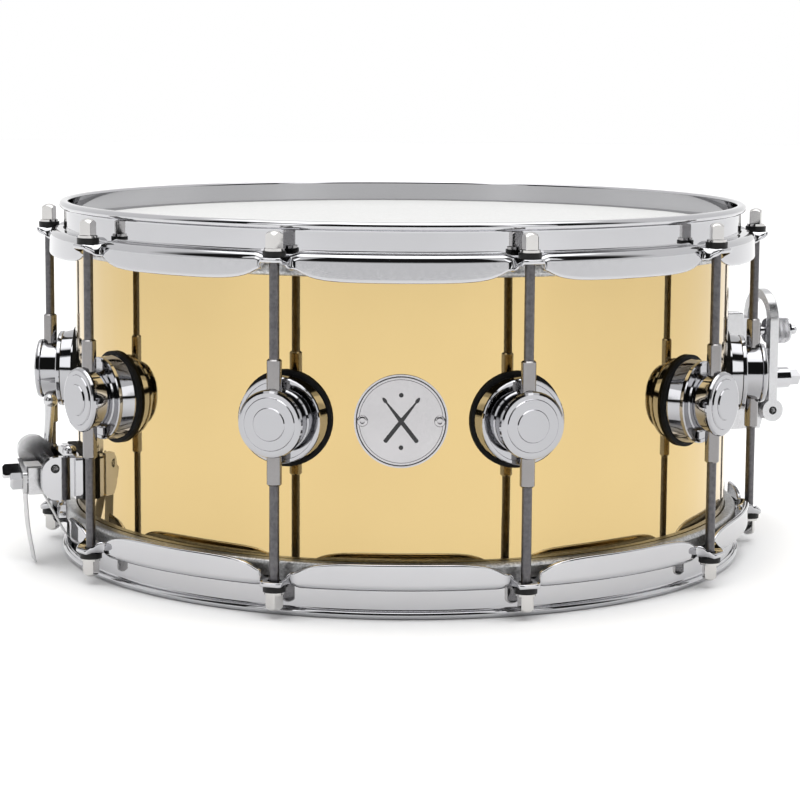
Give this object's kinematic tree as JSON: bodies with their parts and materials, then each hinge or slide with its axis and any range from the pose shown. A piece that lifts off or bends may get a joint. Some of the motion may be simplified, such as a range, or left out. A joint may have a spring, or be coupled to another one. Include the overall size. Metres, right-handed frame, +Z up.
{
  "type": "snare drum",
  "caption": "Snare drum with a polished metal shell, scalloped hoops, round turret lugs, key-headed tension rods, a throw-off with a drop lever, a cam butt plate and snare wires.",
  "frame": {"origin": "on the drum's axis in the plane of the lower rim, which the drum stands on", "axes": "+Z up along the drum's axis; the badge faces -Y; the throw-off is towards +X and the butt towards -X"},
  "size_m": [0.4423, 0.3876, 0.1884],
  "materials": {
    "brass_polished": "polished pale bell brass",
    "chrome": "polished",
    "steel_dark": "satin",
    "steel": "satin",
    "aluminium": "satin",
    "black_rubber": "matt",
    "black_nylon": "matt",
    "coated_film": "white coating with a fine grain",
    "clear_film": "hazy clear",
    "badge_metal": "satin with dark lines",
    "strap_film": "translucent",
    "brass_trim": "polished"
  },
  "bodies": {
    "drum": {"shell": "brass_polished", "batter_hoop": "chrome", "snare_side_hoop": "chrome", "batter_head_film": "coated_film", "snare_side_film": "clear_film", "batter_flesh_hoop": "aluminium", "snare_side_flesh_hoop": "aluminium", "lug_gaskets": "black_rubber", "lug_bodies": "chrome", "lug_receivers": "chrome", "lug_screws": "steel", "rod_washers_top": "black_nylon", "rod_washers_bottom": "black_nylon", "badge_plate": "badge_metal", "badge_rivets": "badge_metal", "vent_grommet": "brass_trim", "strainer_gasket": "black_rubber", "strainer_body": "chrome", "strainer_magnets": "steel", "strainer_pin": "steel", "butt_gasket": "black_rubber", "butt_body": "chrome", "butt_pin": "steel", "butt_button": "chrome", "fitting_screws": "steel"},
    "lever": {"strainer_lever": "chrome"},
    "carriage": {"strainer_carriage": "chrome", "strainer_clamp_plate": "steel", "strap_strainer": "strap_film"},
    "clamp_bolt": {"strainer_clamp_bolt": "chrome"},
    "knob": {"adjust_knob": "chrome"},
    "cam_lever": {"butt_lever": "chrome"},
    "butt_clamp": {"butt_clamp_block": "chrome", "butt_clamp_plate": "chrome", "strap_butt": "strap_film"},
    "key_screw_upper": {"butt_key_screw_upper": "chrome"},
    "key_screw_lower": {"butt_key_screw_lower": "chrome"},
    "snares": {"snare_wires": "steel", "snare_end_plates": "brass_trim"},
    "rod_top_1": {"tension_rod_top_1": "steel_dark"},
    "rod_top_2": {"tension_rod_top_2": "steel_dark"},
    "rod_top_3": {"tension_rod_top_3": "steel_dark"},
    "rod_top_4": {"tension_rod_top_4": "steel_dark"},
    "rod_top_5": {"tension_rod_top_5": "steel_dark"},
    "rod_top_6": {"tension_rod_top_6": "steel_dark"},
    "rod_top_7": {"tension_rod_top_7": "steel_dark"},
    "rod_top_8": {"tension_rod_top_8": "steel_dark"},
    "rod_top_9": {"tension_rod_top_9": "steel_dark"},
    "rod_top_10": {"tension_rod_top_10": "steel_dark"},
    "rod_bottom_1": {"tension_rod_bottom_1": "steel_dark"},
    "rod_bottom_2": {"tension_rod_bottom_2": "steel_dark"},
    "rod_bottom_3": {"tension_rod_bottom_3": "steel_dark"},
    "rod_bottom_4": {"tension_rod_bottom_4": "steel_dark"},
    "rod_bottom_5": {"tension_rod_bottom_5": "steel_dark"},
    "rod_bottom_6": {"tension_rod_bottom_6": "steel_dark"},
    "rod_bottom_7": {"tension_rod_bottom_7": "steel_dark"},
    "rod_bottom_8": {"tension_rod_bottom_8": "steel_dark"},
    "rod_bottom_9": {"tension_rod_bottom_9": "steel_dark"},
    "rod_bottom_10": {"tension_rod_bottom_10": "steel_dark"}
  },
  "joints": [
    {"name": "rod_top_1_turn", "type": "hinge", "parent": "drum", "child": "rod_top_1", "pos_m": [0.05949, -0.18308, 0.178], "axis": [0, 0, -1], "continuous": true},
    {"name": "rod_top_2_turn", "type": "hinge", "parent": "drum", "child": "rod_top_2", "pos_m": [0.15574, -0.11315, 0.178], "axis": [0, 0, -1], "continuous": true},
    {"name": "rod_top_3_turn", "type": "hinge", "parent": "drum", "child": "rod_top_3", "pos_m": [0.1925, 0, 0.178], "axis": [0, 0, -1], "continuous": true},
    {"name": "rod_top_4_turn", "type": "hinge", "parent": "drum", "child": "rod_top_4", "pos_m": [0.15574, 0.11315, 0.178], "axis": [0, 0, -1], "continuous": true},
    {"name": "rod_top_5_turn", "type": "hinge", "parent": "drum", "child": "rod_top_5", "pos_m": [0.05949, 0.18308, 0.178], "axis": [0, 0, -1], "continuous": true},
    {"name": "rod_top_6_turn", "type": "hinge", "parent": "drum", "child": "rod_top_6", "pos_m": [-0.05949, 0.18308, 0.178], "axis": [0, 0, -1], "continuous": true},
    {"name": "rod_top_7_turn", "type": "hinge", "parent": "drum", "child": "rod_top_7", "pos_m": [-0.15574, 0.11315, 0.178], "axis": [0, 0, -1], "continuous": true},
    {"name": "rod_top_8_turn", "type": "hinge", "parent": "drum", "child": "rod_top_8", "pos_m": [-0.1925, 0, 0.178], "axis": [0, 0, -1], "continuous": true},
    {"name": "rod_top_9_turn", "type": "hinge", "parent": "drum", "child": "rod_top_9", "pos_m": [-0.15574, -0.11315, 0.178], "axis": [0, 0, -1], "continuous": true},
    {"name": "rod_top_10_turn", "type": "hinge", "parent": "drum", "child": "rod_top_10", "pos_m": [-0.05949, -0.18308, 0.178], "axis": [0, 0, -1], "continuous": true},
    {"name": "rod_bottom_1_turn", "type": "hinge", "parent": "drum", "child": "rod_bottom_1", "pos_m": [0.05949, -0.18308, 0.0104], "axis": [0, 0, 1], "continuous": true},
    {"name": "rod_bottom_2_turn", "type": "hinge", "parent": "drum", "child": "rod_bottom_2", "pos_m": [0.15574, -0.11315, 0.0104], "axis": [0, 0, 1], "continuous": true},
    {"name": "rod_bottom_3_turn", "type": "hinge", "parent": "drum", "child": "rod_bottom_3", "pos_m": [0.1925, 0, 0.0104], "axis": [0, 0, 1], "continuous": true},
    {"name": "rod_bottom_4_turn", "type": "hinge", "parent": "drum", "child": "rod_bottom_4", "pos_m": [0.15574, 0.11315, 0.0104], "axis": [0, 0, 1], "continuous": true},
    {"name": "rod_bottom_5_turn", "type": "hinge", "parent": "drum", "child": "rod_bottom_5", "pos_m": [0.05949, 0.18308, 0.0104], "axis": [0, 0, 1], "continuous": true},
    {"name": "rod_bottom_6_turn", "type": "hinge", "parent": "drum", "child": "rod_bottom_6", "pos_m": [-0.05949, 0.18308, 0.0104], "axis": [0, 0, 1], "continuous": true},
    {"name": "rod_bottom_7_turn", "type": "hinge", "parent": "drum", "child": "rod_bottom_7", "pos_m": [-0.15574, 0.11315, 0.0104], "axis": [0, 0, 1], "continuous": true},
    {"name": "rod_bottom_8_turn", "type": "hinge", "parent": "drum", "child": "rod_bottom_8", "pos_m": [-0.1925, 0, 0.0104], "axis": [0, 0, 1], "continuous": true},
    {"name": "rod_bottom_9_turn", "type": "hinge", "parent": "drum", "child": "rod_bottom_9", "pos_m": [-0.15574, -0.11315, 0.0104], "axis": [0, 0, 1], "continuous": true},
    {"name": "rod_bottom_10_turn", "type": "hinge", "parent": "drum", "child": "rod_bottom_10", "pos_m": [-0.05949, -0.18308, 0.0104], "axis": [0, 0, 1], "continuous": true},
    {"name": "throw_off", "type": "hinge", "parent": "drum", "child": "lever", "pos_m": [0.20771, 0.06749, 0.0654], "axis": [-0.309, 0.9511, 0], "range_deg": [0, 90]},
    {"name": "carriage_slide", "type": "slide", "parent": "drum", "child": "carriage", "axis": [0, 0, 1], "range_m": [-0.0061, 0], "deforming": ["strap_strainer"]},
    {"name": "snares_drop", "type": "slide", "parent": "drum", "child": "snares", "axis": [0, 0, -1], "range_m": [0, 0.0021], "deforming": ["strap_strainer", "strap_butt"]},
    {"name": "clamp_bolt_turn", "type": "hinge", "parent": "carriage", "child": "clamp_bolt", "pos_m": [0.21399, 0.06953, 0.0817], "axis": [0.9511, 0.309, 0], "continuous": true},
    {"name": "tension_knob_turn", "type": "hinge", "parent": "carriage", "child": "knob", "pos_m": [0.21684, 0.07046, 0.1095], "axis": [0.9511, 0.309, 0], "continuous": true},
    {"name": "butt_cam_lever", "type": "hinge", "parent": "drum", "child": "cam_lever", "pos_m": [-0.18517, -0.06017, 0.053], "axis": [0.309, -0.9511, 0], "range_deg": [0, 40]},
    {"name": "butt_clamp_slide", "type": "slide", "parent": "drum", "child": "butt_clamp", "axis": [0, 0, 1], "range_m": [-0.0026, 0], "deforming": ["strap_butt"]},
    {"name": "key_screw_upper_turn", "type": "hinge", "parent": "butt_clamp", "child": "key_screw_upper", "pos_m": [-0.20114, -0.06052, 0.048], "axis": [-0.9511, -0.309, 0], "continuous": true},
    {"name": "key_screw_lower_turn", "type": "hinge", "parent": "butt_clamp", "child": "key_screw_lower", "pos_m": [-0.19682, -0.07383, 0.045], "axis": [-0.9511, -0.309, 0], "continuous": true}
  ],
  "couplings": [
    {"joint": "carriage_slide", "follows": "throw_off", "m_per_rad": -0.0038},
    {"joint": "snares_drop", "follows": "throw_off", "m_per_rad": 0.0013},
    {"joint": "butt_clamp_slide", "follows": "butt_cam_lever", "m_per_rad": -0.0036}
  ]
}
